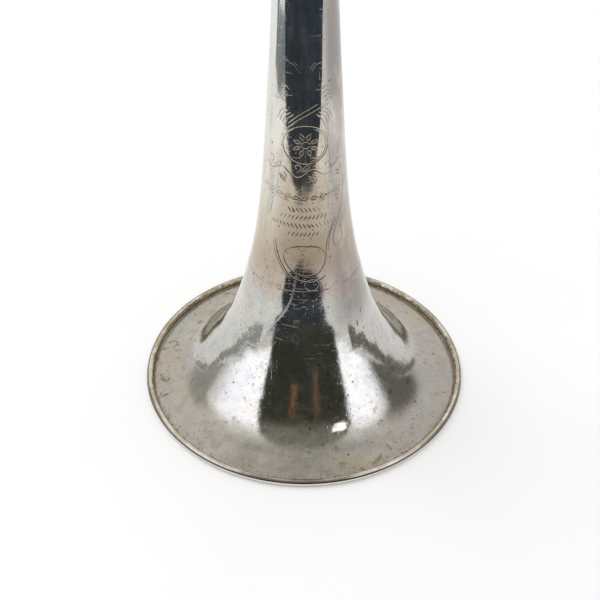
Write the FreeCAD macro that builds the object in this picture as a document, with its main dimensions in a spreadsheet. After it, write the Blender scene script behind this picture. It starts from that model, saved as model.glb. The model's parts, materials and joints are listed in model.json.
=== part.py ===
import FreeCAD, Part
import math
import os
import re

import Sketcher

# Tenor trombone bell section, standing on its bell rim, with the hand slide taken off.
#
# Millimetres, +Z up. The origin is the centre of the bell rim, on the plane that the rim stands on. The
# bell's axis is the Z axis, and the neckpipe side of the instrument lies towards -X.

Vector = FreeCAD.Vector

# Every driving dimension: its name, its value in millimetres, and what it is.
DIMENSIONS = [
    # Bell
    ("rim_radius", 101.6, "outside of the rolled rim, half of 8 inches"),
    ("bead_radius", 2.3, "section of the rolled rim, sheet included"),
    ("rim_land", 1.0, "width of the flat that the rim stands on"),
    ("sheet_thickness", 0.5, "bell sheet"),
    ("seam_height", 88.0, "where flare and stem meet"),
    ("seam_radius", 33.4, "outside of the bell at the seam"),
    ("cone_height", 250.0, "where the stem becomes a straight cone"),
    ("cone_radius", 17.6, "outside of the stem there"),
    ("stem_top_height", 412.0, "upper end of the stem"),
    ("stem_top_radius", 9.0, "outside of the stem at its upper end"),
    # Tubes of the tuning slide
    ("tube_wall", 0.56, "wall of the outer tubes"),
    ("slide_clearance", 0.04, "radial clearance between inner legs and outer tubes"),
    ("leg_wall", 0.5, "wall of the inner legs"),
    ("neck_tube_radius", 8.2, "outside of the neck-side outer tube"),
    ("outer_tube_top", 498.0, "open ends of the outer tubes"),
    ("leg_bottom", 422.0, "lower ends of the inner legs, slide closed"),
    ("stop_gap", 0.3, "gap left between parts that stop against each other"),
    ("end_ring_height", 7.0, "ring round an outer tube's open end"),
    ("end_ring_wall", 0.9, "how far that ring stands out"),
    # Ring-shaped beads at the ends of sleeves, and rounded edges
    ("bead_height", 0.35, "how far a sleeve's bead stands out"),
    ("bead_width", 1.9, "width of a sleeve's bead"),
    ("edge_round", 0.3, "rounding of outside edges"),
    # Bow
    ("bow_radius", 64.0, "centreline of the tuning bow, half of the tube spacing"),
    ("bow_centre_height", 515.0, "centre of the bow's half circle"),
    ("bow_tube_radius", 8.2, "outside of the bow tube"),
    ("bow_wall", 0.6, "wall of the bow tube"),
    ("bow_start_height", 507.0, "where a leg ends and the bow tube begins"),
    ("bow_ferrule_wall", 0.9, "how far a bow ferrule stands out from its leg"),
    # Ferrules below the outer tubes
    ("ferrule_drop", 9.0, "how far a ferrule reaches below the joint that it covers"),
    ("ferrule_rise", 12.0, "how far it reaches above that joint"),
    ("ferrule_wall", 0.9, "how far it stands out from the outer tube"),
    # Neckpipe
    ("neckpipe_radius", 7.8, "outside of the neckpipe"),
    ("neckpipe_wall", 0.6, "wall of the neckpipe"),
    ("neck_offset", 8.0, "sideways step of the neckpipe, away from the bell"),
    ("neck_bend_top", 402.0, "upper end of the neckpipe's bend"),
    ("neck_bend_bottom", 340.0, "lower end of the neckpipe's bend"),
    # Receiver and lock nut
    ("receiver_mouth_height", 290.0, "open lower end of the receiver"),
    ("receiver_length", 44.0, "receiver, end to end"),
    ("receiver_mouth_radius", 8.8, "taper of the bore at the mouth"),
    ("receiver_throat_radius", 8.0, "taper of the bore at its inner end"),
    ("receiver_shoulder", 4.0, "solid ring between the taper and the neckpipe's end"),
    ("taper_length", 28.0, "length of that taper"),
    ("receiver_seat_radius", 10.0, "plain stretch that the lock nut turns on"),
    ("receiver_body_radius", 10.4, "outside of the receiver's body"),
    ("receiver_top_step", 3.0, "narrower neck at the receiver's upper end"),
    ("receiver_collar_radius", 11.2, "collar above the lock nut"),
    ("receiver_collar_height", 9.4, "length of that collar"),
    ("keeper_radius", 11.0, "flange ring that keeps the nut on"),
    ("keeper_height", 3.0, "thickness of that ring"),
    ("nut_thread_radius", 11.4, "thread of the lock nut, as a plain bore"),
    ("thread_relief", 0.5, "depth of the undercut behind the thread"),
    ("nut_skirt", 11.0, "how far the nut reaches below the receiver's mouth"),
    ("nut_lip", 3.0, "thickness of the nut's inner lip"),
    ("nut_radius", 13.5, "outside of the lock nut"),
    ("nut_clearance", 0.06, "radial clearance between lip and receiver"),
    ("knurl_depth", 0.55, "depth of the knurl"),
    # Braces
    ("main_brace_height", 318.0, "axis of the main brace"),
    ("main_brace_radius", 4.0, "outside of its tube"),
    ("main_foot_radius", 9.0, "disc of its feet"),
    ("upper_brace_height", 446.0, "axis of the upper brace"),
    ("upper_brace_radius", 3.5, "outside of its tube"),
    ("upper_foot_radius", 8.0, "disc of its feet"),
    ("bow_brace_height", 506.65, "axis of the bow brace, slide closed"),
    ("bow_brace_radius", 3.2, "outside of its tube"),
    ("bow_foot_radius", 6.2, "disc of its feet"),
    ("brace_wall", 0.7, "wall of the brace tubes"),
    ("brace_gap", 0.3, "gap between a brace tube's end and the tube behind its foot"),
    ("foot_plate", 1.2, "thickness of a foot's saddle plate"),
    ("foot_rim", 0.4, "how much narrower a foot's boss is than its disc, at the upright's axis"),
    ("foot_boss_length", 6.0, "height of a foot's boss"),
    ("foot_boss_wall", 1.1, "wall of the boss at its tip"),
    # Counterweight
    ("weight_radius", 13.0, "outside of the balance weight"),
    ("weight_length", 34.0, "balance weight, end to end"),
    ("weight_split", 0.6, "gap between its two halves"),
    ("weight_edge", 1.5, "rounding of its ends"),
    ("screw_offset", 8.2, "height of each clamping screw above or below the brace"),
    ("screw_radius", 1.5, "screw shank"),
    ("screw_head_radius", 2.8, "screw head"),
    ("screw_head_height", 1.8, "height of the head"),
    ("screw_head_depth", 8.0, "seat of the head, from the split"),
    ("screw_reach", 6.0, "how far a screw goes past the split"),
    ("screw_slot", 0.7, "width and depth of the slot"),
    ("shank_play", 0.2, "radial play of a screw in the front half"),
    ("head_play", 0.3, "radial play of a screw head in its seat"),
    ("overrun", 1.0, "how far a cutting solid reaches past what it cuts"),
]

# Outside of the bell between its rim and the seam, then between the seam and the cone, as (radius, height).
FLARE_POINTS = [(97.0, 0.95), (80.7, 5.0), (71.5, 10.3), (62.8, 19.8), (49.9, 40.0), (40.6, 62.0)]
STEM_POINTS = [(26.7, 125.0), (22.3, 175.0)]
CURL_END_DEGREES = 35  # the sheet's edge stops this far up the outside of the rim wire
KNURL_TEETH = 40
KNURL_HALF_ANGLE = 40  # half of the angle between a groove's sides

document = FreeCAD.newDocument("trombone_bell_section")
sheet = document.addObject("Spreadsheet::Sheet", "dims")
for row, (name, value, meaning) in enumerate(DIMENSIONS, start=1):
    sheet.set(f"A{row}", meaning)
    sheet.set(f"B{row}", str(value))
    sheet.setAlias(f"B{row}", name)
document.recompute()

NAMES = {name for name, _, _ in DIMENSIONS}
nodes = []


def cells(formula):
    """The formula with each dimension's name pointing at its cell in the sheet."""
    return re.sub(r"[a-z_]+", lambda word: f"dims.{word[0]}" if word[0] in NAMES else word[0], formula)


def value_of(formula):
    """What the formula comes to, in millimetres."""
    result = sheet.evalExpression(cells(formula))
    return float(getattr(result, "Value", result))


def bind(item, prop, formula):
    """Ties a property or a sketch constraint to the sheet."""
    item.setExpression(prop, cells(formula))


def put_at(item, x="0", y="0", z="0"):
    """Ties the item's place to the sheet."""
    for letter, formula in zip("xyz", (x, y, z)):
        bind(item, f"Placement.Base.{letter}", formula)


# ---------------------------------------------------------------- PartDesign bodies


def new_body(label):
    body = document.addObject("PartDesign::Body", label)
    body.Label = label
    nodes.append(body)
    return body


def new_sketch(body, name, plane_role, offset=None):
    plane = next(item for item in body.Origin.OriginFeatures if item.Role == plane_role)
    sketch = body.newObject("Sketcher::SketchObject", f"{body.Label}_{name}")
    sketch.AttachmentSupport = [(plane, "")]
    sketch.MapMode = "FlatFace"
    if offset:
        sketch.AttachmentOffset = FreeCAD.Placement(offset, FreeCAD.Rotation())
    return sketch


def polygon(sketch, corners):
    """A closed outline whose corners are pairs of formulas, each tied to the sheet."""
    points = [Vector(value_of(across), value_of(along), 0) for across, along in corners]
    count = len(points)
    for index in range(count):
        sketch.addGeometry(Part.LineSegment(points[index], points[(index + 1) % count]))
    for index in range(count):
        sketch.addConstraint(Sketcher.Constraint("Coincident", index, 2, (index + 1) % count, 1))
    for index, (point, (across, along)) in enumerate(zip(points, corners)):
        for kind, number, formula in (("DistanceX", point.x, across), ("DistanceY", point.y, along)):
            added = sketch.addConstraint(Sketcher.Constraint(kind, -1, 1, index, 1, number))
            bind(sketch, f"Constraints[{added}]", formula)


def ring_section(sketch, outer, wall):
    """Two circles about the sketch's origin, tied to the sheet."""
    for formula in (outer, f"{outer} - {wall}"):
        radius = value_of(formula)
        index = sketch.addGeometry(Part.Circle(Vector(0, 0, 0), Vector(0, 0, 1), radius))
        sketch.addConstraint(Sketcher.Constraint("Coincident", index, 3, -1, 1))
        added = sketch.addConstraint(Sketcher.Constraint("Radius", index, radius))
        bind(sketch, f"Constraints[{added}]", formula)


def revolve(body, sketch):
    turned = body.newObject("PartDesign::Revolution", f"{body.Label}_turned")
    turned.Profile = sketch
    turned.ReferenceAxis = (sketch, ["V_Axis"])
    turned.Angle = 360
    document.recompute()
    return turned


def round_circles(body, base, rounding):
    """Rounds the circular edges of each radius named."""
    for step, formula in enumerate(rounding):
        radius = value_of(formula)
        edges = [
            f"Edge{index}"
            for index, edge in enumerate(base.Shape.Edges, start=1)
            if isinstance(edge.Curve, Part.Circle) and abs(edge.Curve.Radius - radius) < 1e-4
        ]
        fillet = body.newObject("PartDesign::Fillet", f"{body.Label}_round{step}")
        fillet.Base = (base, edges)
        bind(fillet, "Radius", "edge_round")
        document.recompute()
        base = fillet
    return base


def turned_piece(label, outline, x="0", z="0", rounding=()):
    """A piece of revolution about its own Z axis, standing at height z above (x, 0)."""
    body = new_body(label)
    sketch = new_sketch(body, "outline", "XZ_Plane")
    polygon(sketch, outline)
    turned = revolve(body, sketch)
    round_circles(body, turned, rounding)
    put_at(body, x=x, z=z)
    return body


def straight_tube(label, outer, wall, bottom, top, x="0"):
    """An upright tube between two heights."""
    inner = f"{outer} - {wall}"
    length = f"{top} - ({bottom})"
    outline = [(inner, "0"), (outer, "0"), (outer, length), (inner, length)]
    return turned_piece(label, outline, x=x, z=bottom)


def swept_tube(label, edges, outer, wall):
    """A tube along edges that lie in the XZ plane, each tangent to the last, starting upright."""
    body = new_body(label)
    spine = new_sketch(body, "spine", "XZ_Plane")
    for edge in edges:
        spine.addGeometry(edge)
    start = edges[0].StartPoint
    section = new_sketch(body, "section", "XY_Plane", Vector(start.x, 0, start.y))
    ring_section(section, outer, wall)
    document.recompute()
    pipe = body.newObject("PartDesign::AdditivePipe", f"{label}_pipe")
    pipe.Profile = section
    pipe.Spine = (spine, [])
    document.recompute()
    return body


# ---------------------------------------------------------------- Bell


def stem_radius(height):
    """Outside of the stem's straight cone at a height."""
    taper = "(cone_radius - stem_top_radius) / (stem_top_height - cone_height)"
    return f"(cone_radius - ({height} - cone_height) * {taper})"


def bell_curves():
    """The bell's outer and inner curve from the rim's land to the cone's start, and the seam's place."""
    wire_radius = value_of("rim_radius - bead_radius")
    thickness = value_of("sheet_thickness")
    start = Vector(wire_radius - value_of("rim_land"), thickness, 0)
    seam = Vector(value_of("seam_radius"), value_of("seam_height"), 0)
    end = Vector(value_of("cone_radius"), value_of("cone_height"), 0)
    flare = [Vector(radius, height, 0) for radius, height in FLARE_POINTS]
    stem = [Vector(radius, height, 0) for radius, height in STEM_POINTS]
    points = [start, *flare, seam, *stem, end]
    first = Vector(-1, 0, 0)
    last = Vector(value_of("stem_top_radius - cone_radius"), value_of("stem_top_height - cone_height"), 0)
    last.normalize()

    outer = Part.BSplineCurve()
    outer.interpolate(Points=points, InitialTangent=first, FinalTangent=last)
    inside = []
    for point in points:
        along = outer.tangent(outer.parameter(point))[0]
        inside.append(point + Vector(-along.y, along.x, 0) * thickness)
    inner = Part.BSplineCurve()
    inner.interpolate(Points=inside, InitialTangent=first, FinalTangent=last)
    return outer, inner, seam, inside[points.index(seam)]


def part_of(curve, start, end):
    """The stretch of a curve between two points on it."""
    piece = curve.copy()
    piece.segment(curve.parameter(start), curve.parameter(end))
    return piece


def revolved_profile(label, edges):
    """A piece of revolution about the bell's axis from a closed chain of edges."""
    body = new_body(label)
    sketch = new_sketch(body, "outline", "XZ_Plane")
    for edge in edges:
        sketch.addGeometry(edge)
    document.recompute()
    revolve(body, sketch)
    return body


def build_bell():
    outer, inner, seam_outside, seam_inside = bell_curves()
    bead = value_of("bead_radius")
    wire = value_of("bead_radius - sheet_thickness")
    centre = Vector(value_of("rim_radius - bead_radius"), bead, 0)
    curl_end = math.radians(CURL_END_DEGREES)
    facing = Vector(math.cos(curl_end), math.sin(curl_end), 0)

    def rim_arc(radius):
        return Part.ArcOfCircle(Part.Circle(centre, Vector(0, 0, 1), radius), -math.pi / 2, curl_end)

    land_top = outer.StartPoint
    land_bottom = inner.StartPoint
    revolved_profile("bell_flare", [
        Part.LineSegment(centre - Vector(0, wire, 0), land_top),
        part_of(outer, land_top, seam_outside),
        Part.LineSegment(seam_outside, seam_inside),
        part_of(inner, land_bottom, seam_inside),
        Part.LineSegment(land_bottom, centre - Vector(0, bead, 0)),
        rim_arc(bead),
        Part.LineSegment(centre + facing * bead, centre + facing * wire),
        rim_arc(wire),
    ])

    stem_top = Vector(value_of("stem_top_radius"), value_of("stem_top_height"), 0)
    cone_outside = outer.EndPoint
    cone_inside = inner.EndPoint
    stem_top_inside = stem_top + cone_inside - cone_outside
    revolved_profile("bell_stem", [
        part_of(outer, seam_outside, cone_outside),
        Part.LineSegment(cone_outside, stem_top),
        Part.LineSegment(stem_top, stem_top_inside),
        Part.LineSegment(stem_top_inside, cone_inside),
        part_of(inner, seam_inside, cone_inside),
        Part.LineSegment(seam_inside, seam_outside),
    ])

    ring = document.addObject("Part::Torus", "rim_wire")
    ring.Label = "rim_wire"
    bind(ring, "Radius1", "rim_radius - bead_radius")
    bind(ring, "Radius2", "bead_radius - sheet_thickness")
    put_at(ring, z="bead_radius")
    nodes.append(ring)


# ---------------------------------------------------------------- Tubes and ferrules

NECK_X = "-2 * bow_radius"
RECEIVER_X = "(-2 * bow_radius - neck_offset)"
BELL_LEG = "(stem_top_radius - tube_wall - slide_clearance)"
NECK_LEG = "(neck_tube_radius - tube_wall - slide_clearance)"


def tube_ferrule(label, tube, pipe_low, pipe_top, x):
    """The sleeve over the joint of a pipe with the outer tube above it, beaded at both ends."""
    low_outer = f"{pipe_low} + ferrule_wall"
    top_outer = f"{tube} + ferrule_wall"
    length = "(ferrule_drop + ferrule_rise)"
    outline = [
        (pipe_low, "0"),
        (f"{low_outer} + bead_height", "0"),
        (f"{low_outer} + bead_height", "bead_width"),
        (low_outer, "bead_width"),
        (top_outer, f"{length} - bead_width"),
        (f"{top_outer} + bead_height", f"{length} - bead_width"),
        (f"{top_outer} + bead_height", length),
        (tube, length),
        (tube, "ferrule_drop"),
        (pipe_top, "ferrule_drop"),
    ]
    if value_of(tube) == value_of(pipe_top):
        outline.pop()
    rounding = [f"{low_outer} + bead_height", f"{top_outer} + bead_height"]
    turned_piece(label, outline, x=x, z="stem_top_height - ferrule_drop", rounding=rounding)


def build_outer_tubes():
    for side, tube, x in (("bell", "stem_top_radius", "0"), ("neck", "neck_tube_radius", NECK_X)):
        straight_tube(f"{side}_outer_tube", tube, "tube_wall", "stem_top_height", "outer_tube_top", x)
        outside = f"{tube} + end_ring_wall"
        ring = [(tube, "0"), (outside, "0"), (outside, "end_ring_height"), (tube, "end_ring_height")]
        ring_bottom = "outer_tube_top - end_ring_height"
        turned_piece(f"{side}_outer_ring", ring, x=x, z=ring_bottom, rounding=[outside])
    tube_ferrule("bell_ferrule", "stem_top_radius", stem_radius("(stem_top_height - ferrule_drop)"),
                 "stem_top_radius", "0")
    tube_ferrule("neck_ferrule", "neck_tube_radius", "neckpipe_radius", "neckpipe_radius", NECK_X)


def build_neckpipe():
    """Straight down from the outer tube, sideways by two equal arcs, and straight into the receiver."""
    top = value_of("stem_top_height")
    bend_top = value_of("neck_bend_top")
    bend_bottom = value_of("neck_bend_bottom")
    bottom = value_of("receiver_mouth_height + taper_length + receiver_shoulder")
    offset = value_of("neck_offset")
    top_x = value_of(NECK_X)
    bottom_x = value_of(RECEIVER_X)
    turn = 2 * math.atan2(offset, bend_top - bend_bottom)
    radius = (bend_top - bend_bottom) / (2 * math.sin(turn))
    upper = Part.Circle(Vector(top_x - radius, bend_top, 0), Vector(0, 0, 1), radius)
    lower = Part.Circle(Vector(bottom_x + radius, bend_bottom, 0), Vector(0, 0, 1), radius)
    edges = [
        Part.LineSegment(Vector(bottom_x, bottom, 0), Vector(bottom_x, bend_bottom, 0)),
        Part.ArcOfCircle(lower, math.pi - turn, math.pi),
        Part.ArcOfCircle(upper, -turn, 0),
        Part.LineSegment(Vector(top_x, bend_top, 0), Vector(top_x, top, 0)),
    ]
    return swept_tube("neckpipe", edges, "neckpipe_radius", "neckpipe_wall")


def build_receiver():
    bore = "neckpipe_radius - neckpipe_wall"
    shoulder = "taper_length + receiver_shoulder"
    collar_bottom = "keeper_height + nut_lip + 2 * stop_gap"
    collar_top = f"{collar_bottom} + receiver_collar_height"
    top_step = "receiver_length - receiver_top_step"
    top_radius = "receiver_body_radius - 2 * bead_height"
    outline = [
        ("receiver_mouth_radius", "0"),
        ("receiver_seat_radius", "0"),
        ("receiver_seat_radius", collar_bottom),
        ("receiver_collar_radius", collar_bottom),
        ("receiver_collar_radius", collar_top),
        ("receiver_body_radius", f"{collar_top} + bead_width"),
        ("receiver_body_radius", top_step),
        (top_radius, top_step),
        (top_radius, "receiver_length"),
        ("neckpipe_radius", "receiver_length"),
        ("neckpipe_radius", shoulder),
        (bore, shoulder),
        (bore, "taper_length"),
        ("receiver_throat_radius", "taper_length"),
    ]
    turned_piece("receiver", outline, x=RECEIVER_X, z="receiver_mouth_height",
                 rounding=["receiver_collar_radius", "receiver_body_radius", top_radius])
    keeper = [
        ("receiver_seat_radius", "0"),
        ("keeper_radius", "0"),
        ("keeper_radius", "keeper_height"),
        ("receiver_seat_radius", "keeper_height"),
    ]
    turned_piece("receiver_ring", keeper, x=RECEIVER_X, z="receiver_mouth_height",
                 rounding=["keeper_radius"])


def build_lock_nut():
    """A thin skirt with an inner lip that catches behind the receiver's ring, knurled all round."""
    lip_bottom = "nut_skirt + keeper_height + stop_gap"
    top = f"{lip_bottom} + nut_lip"
    plain = "bead_width"
    edge = "nut_radius - 2 * bead_height"
    relief = "nut_thread_radius + thread_relief"
    thread_end = "nut_skirt - thread_relief"
    outline = [
        ("nut_thread_radius", "0"),
        (edge, "0"),
        (edge, plain),
        ("nut_radius", plain),
        ("nut_radius", f"{top} - {plain}"),
        (edge, f"{top} - {plain}"),
        (edge, top),
        ("receiver_seat_radius + nut_clearance", top),
        ("receiver_seat_radius + nut_clearance", lip_bottom),
        (relief, lip_bottom),
        (relief, thread_end),
        ("nut_thread_radius", thread_end),
    ]
    body = turned_piece("bell_lock_nut", outline, x=RECEIVER_X, z="receiver_mouth_height - nut_skirt",
                        rounding=[edge])
    groove_edge = value_of("nut_radius + bead_height")
    groove_root = value_of("nut_radius - knurl_depth")
    half_width = (groove_edge - groove_root) * math.tan(math.radians(KNURL_HALF_ANGLE))
    corners = [
        Vector(groove_root, 0, 0),
        Vector(groove_edge, half_width, 0),
        Vector(groove_edge, -half_width, 0),
    ]
    sketch = new_sketch(body, "groove", "XY_Plane")
    for index in range(3):
        sketch.addGeometry(Part.LineSegment(corners[index], corners[(index + 1) % 3]))
    for index in range(3):
        sketch.addConstraint(Sketcher.Constraint("Coincident", index, 2, (index + 1) % 3, 1))
    added = sketch.addConstraint(Sketcher.Constraint("DistanceX", -1, 1, 0, 1, groove_root))
    bind(sketch, f"Constraints[{added}]", "nut_radius - knurl_depth")
    document.recompute()
    groove = body.newObject("PartDesign::Pocket", "knurl_groove")
    groove.Profile = sketch
    groove.Type = "ThroughAll"
    groove.Reversed = True
    document.recompute()
    knurl = body.newObject("PartDesign::PolarPattern", "knurl")
    knurl.Originals = [groove]
    knurl.Axis = (sketch, ["N_Axis"])
    knurl.Angle = 360
    knurl.Occurrences = KNURL_TEETH
    body.Tip = knurl
    document.recompute()
    return body


# ---------------------------------------------------------------- Tuning slide


def build_tuning_slide():
    for side, leg, x in (("bell", BELL_LEG, "0"), ("neck", NECK_LEG, NECK_X)):
        straight_tube(f"{side}_inner_leg", leg, "leg_wall", "leg_bottom", "bow_start_height", x)
        bottom = "outer_tube_top + stop_gap"
        joint = f"bow_start_height - ({bottom})"
        length = f"bow_centre_height - ({bottom})"
        outside = f"{leg} + bow_ferrule_wall"
        beaded = f"{outside} + bead_height"
        outline = [
            (leg, "0"),
            (beaded, "0"),
            (beaded, "bead_width"),
            (outside, "bead_width"),
            (outside, f"{length} - bead_width"),
            (beaded, f"{length} - bead_width"),
            (beaded, length),
            ("bow_tube_radius", length),
            ("bow_tube_radius", joint),
            (leg, joint),
        ]
        turned_piece(f"{side}_bow_ferrule", outline, x=x, z=bottom, rounding=[beaded])
    centre_height = value_of("bow_centre_height")
    start_height = value_of("bow_start_height")
    bow = value_of("bow_radius")
    half_circle = Part.Circle(Vector(-bow, centre_height, 0), Vector(0, 0, 1), bow)
    swept_tube("tuning_bow", [
        Part.LineSegment(Vector(0, start_height, 0), Vector(0, centre_height, 0)),
        Part.ArcOfCircle(half_circle, 0, math.pi),
        Part.LineSegment(Vector(-2 * bow, centre_height, 0), Vector(-2 * bow, start_height, 0)),
    ], "bow_tube_radius", "bow_wall")


# ---------------------------------------------------------------- Braces


def primitive(kind, name, x="0", y="0", z="0", rotation=None, **sizes):
    """A Part primitive with its sizes and place tied to the sheet."""
    item = document.addObject(kind, name)
    for prop, formula in sizes.items():
        bind(item, prop, formula)
    if rotation:
        item.Placement = FreeCAD.Placement(Vector(0, 0, 0), rotation)
    put_at(item, x, y, z)
    return item


def combine(kind, name, *items):
    """A Part boolean of two objects, or of several for a fusion."""
    item = document.addObject(kind, name)
    if kind == "Part::MultiFuse":
        item.Shapes = list(items)
    else:
        item.Base, item.Tool = items
    return item


def finished(item, label):
    item.Label = label
    nodes.append(item)
    return item


def saddle_foot(label, low, high, direction, x, height, disc, tube):
    """A brace's foot: a round saddle plate on an upright tube or cone, with a tapered boss for the brace.

    low and high are the upright's radius at the disc's lower and upper edge; direction is 1 where the boss
    points towards +X and -1 where it points towards -X.
    """
    outwards = FreeCAD.Rotation(Vector(0, 1, 0), 90 * direction)
    reach = f"({low} + foot_plate)"
    disc_form = primitive("Part::Cylinder", f"{label}_disc", x, "0", height, outwards,
                          Radius=disc, Height=f"{reach} + overrun")
    skin = primitive("Part::Cone", f"{label}_skin", x, "0", f"{height} - ({disc})",
                     Radius1=f"{low} + foot_plate", Radius2=f"{high} + foot_plate", Height=f"2 * ({disc})")
    plate = combine("Part::Common", f"{label}_plate", disc_form, skin)
    boss = primitive("Part::Cone", f"{label}_boss", x, "0", height, outwards,
                     Radius1=f"{disc} - foot_rim", Radius2=f"{tube} + foot_boss_wall",
                     Height=f"{reach} + foot_boss_length")
    solid = combine("Part::MultiFuse", f"{label}_solid", plate, boss)
    core = primitive("Part::Cone", f"{label}_core", x, "0", f"{height} - ({disc})",
                     Radius1=low, Radius2=high, Height=f"2 * ({disc})")
    hollow = combine("Part::Cut", f"{label}_hollow", solid, core)
    bore = primitive("Part::Cylinder", f"{label}_bore", x, "0", height, outwards,
                     Radius=tube, Height=f"{reach} + 2 * foot_boss_length")
    return finished(combine("Part::Cut", f"{label}_cut", hollow, bore), label)


def cross_tube(label, tube, left, right, height):
    """A brace's tube, level, from left to right."""
    body = new_body(label)
    section = new_sketch(body, "section", "YZ_Plane")
    ring_section(section, tube, "brace_wall")
    pad = body.newObject("PartDesign::Pad", f"{label}_pad")
    pad.Profile = section
    bind(pad, "Length", f"{right} - ({left})")
    put_at(body, x=left, z=height)
    document.recompute()
    return body


def build_brace(name, height, tube, disc, bell_radii, neck_radii, neck_x):
    """A brace from the upright on the neck side to the upright on the bell side."""
    left = f"{neck_x} + {neck_radii[0]} + brace_gap"
    right = f"-({bell_radii[0]} + brace_gap)"
    cross_tube(f"{name}_tube", tube, left, right, height)
    saddle_foot(f"{name}_bell_foot", *bell_radii, -1, "0", height, disc, tube)
    saddle_foot(f"{name}_neck_foot", *neck_radii, 1, neck_x, height, disc, tube)


def build_braces():
    stem_low = stem_radius("(main_brace_height - main_foot_radius)")
    stem_high = stem_radius("(main_brace_height + main_foot_radius)")
    build_brace("main_brace", "main_brace_height", "main_brace_radius", "main_foot_radius",
                (stem_low, stem_high), ("receiver_body_radius", "receiver_body_radius"), RECEIVER_X)
    build_brace("upper_brace", "upper_brace_height", "upper_brace_radius", "upper_foot_radius",
                ("stem_top_radius", "stem_top_radius"), ("neck_tube_radius", "neck_tube_radius"), NECK_X)
    bell_side = f"({BELL_LEG} + bow_ferrule_wall)"
    neck_side = f"({NECK_LEG} + bow_ferrule_wall)"
    build_brace("bow_brace", "bow_brace_height", "bow_brace_radius", "bow_foot_radius",
                (bell_side, bell_side), (neck_side, neck_side), NECK_X)


# ---------------------------------------------------------------- Counterweight

FRONT = FreeCAD.Rotation(Vector(1, 0, 0), 90)
ALONG_X = FreeCAD.Rotation(Vector(0, 1, 0), 90)
SCREW_SIGNS = (-1, 1)


def screw_height(sign):
    return f"bow_brace_height + {sign} * screw_offset"


def build_counterweight():
    """Two half-round blocks clamped on the bow brace by two screws that enter from the front."""
    left = "-bow_radius - weight_length / 2"
    box_side = "(3 * weight_radius)"
    cut_start = f"{left} - overrun"
    cut_length = "weight_length + 2 * overrun"
    for side, y, shank, back_y in (
        ("front", f"-(weight_split / 2) - {box_side}", "screw_radius + shank_play", "0"),
        ("back", "weight_split / 2", "screw_radius", "screw_reach"),
    ):
        name = f"counterweight_{side}"
        block = primitive("Part::Cylinder", f"{name}_block", left, "0", "bow_brace_height", ALONG_X,
                          Radius="weight_radius", Height="weight_length")
        document.recompute()
        rounded = document.addObject("Part::Fillet", f"{name}_rounded")
        rounded.Base = block
        edge = value_of("weight_edge")
        rims = [index for index, item in enumerate(block.Shape.Edges, start=1) if item.isClosed()
                and isinstance(item.Curve, Part.Circle)]
        rounded.Edges = [(index, edge, edge) for index in rims]
        half = primitive("Part::Box", f"{name}_half", cut_start, y, f"bow_brace_height - {box_side} / 2",
                         Length=cut_length, Width=box_side, Height=box_side)
        blank = combine("Part::Common", f"{name}_blank", rounded, half)
        bore = primitive("Part::Cylinder", f"{name}_bore", cut_start, "0", "bow_brace_height", ALONG_X,
                         Radius="bow_brace_radius", Height=cut_length)
        holes = [bore]
        for sign in SCREW_SIGNS:
            height = screw_height(sign)
            holes.append(primitive("Part::Cylinder", f"{name}_hole", "-bow_radius", back_y, height, FRONT,
                                   Radius=shank, Height="2 * weight_radius"))
            if side == "front":
                holes.append(primitive("Part::Cylinder", f"{name}_seat", "-bow_radius", "-screw_head_depth",
                                       height, FRONT, Radius="screw_head_radius + head_play",
                                       Height="2 * weight_radius"))
        tools = combine("Part::MultiFuse", f"{name}_holes", *holes)
        finished(combine("Part::Cut", f"{name}_cut", blank, tools), name)

    screws = []
    for sign in SCREW_SIGNS:
        height = screw_height(sign)
        shank = primitive("Part::Cylinder", "screw_shank", "-bow_radius", "screw_reach", height, FRONT,
                          Radius="screw_radius", Height="screw_reach + screw_head_depth")
        head = primitive("Part::Cylinder", "screw_head", "-bow_radius", "-screw_head_depth", height, FRONT,
                         Radius="screw_head_radius", Height="screw_head_height")
        slot = primitive("Part::Box", "screw_slot", "-bow_radius - screw_head_radius - overrun",
                         "-screw_head_depth - screw_head_height - overrun",
                         f"{height} - screw_slot / 2",
                         Length="2 * (screw_head_radius + overrun)", Width="screw_slot + overrun",
                         Height="screw_slot")
        whole = combine("Part::MultiFuse", "screw_whole", shank, head)
        screws.append(combine("Part::Cut", "screw_cut", whole, slot))
    both = document.addObject("Part::Compound", "counterweight_screws")
    both.Links = screws
    finished(both, "counterweight_screws")


# ---------------------------------------------------------------- Build, test and write


def check_and_write():
    document.recompute()
    for item in document.Objects:
        bad = {"Invalid", "Error"} & set(item.State)
        if bad:
            raise SystemExit(f"{item.Label} is {bad}")
    os.makedirs("parts", exist_ok=True)
    for item in nodes:
        shape = item.Shape
        if shape.isNull() or not shape.isValid() or not shape.Solids:
            raise SystemExit(f"{item.Label} has no valid solid")
        shape.exportStep(f"parts/{item.Label}.step")
        print(f"{item.Label}: {len(shape.Solids)} solid, {shape.Volume:.0f} mm3")


build_bell()
build_outer_tubes()
build_neckpipe()
build_receiver()
build_lock_nut()
build_tuning_slide()
build_braces()
build_counterweight()
check_and_write()
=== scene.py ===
import json
import math

import bmesh
import bpy
import numpy as np
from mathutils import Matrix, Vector
from mathutils.kdtree import KDTree


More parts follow.
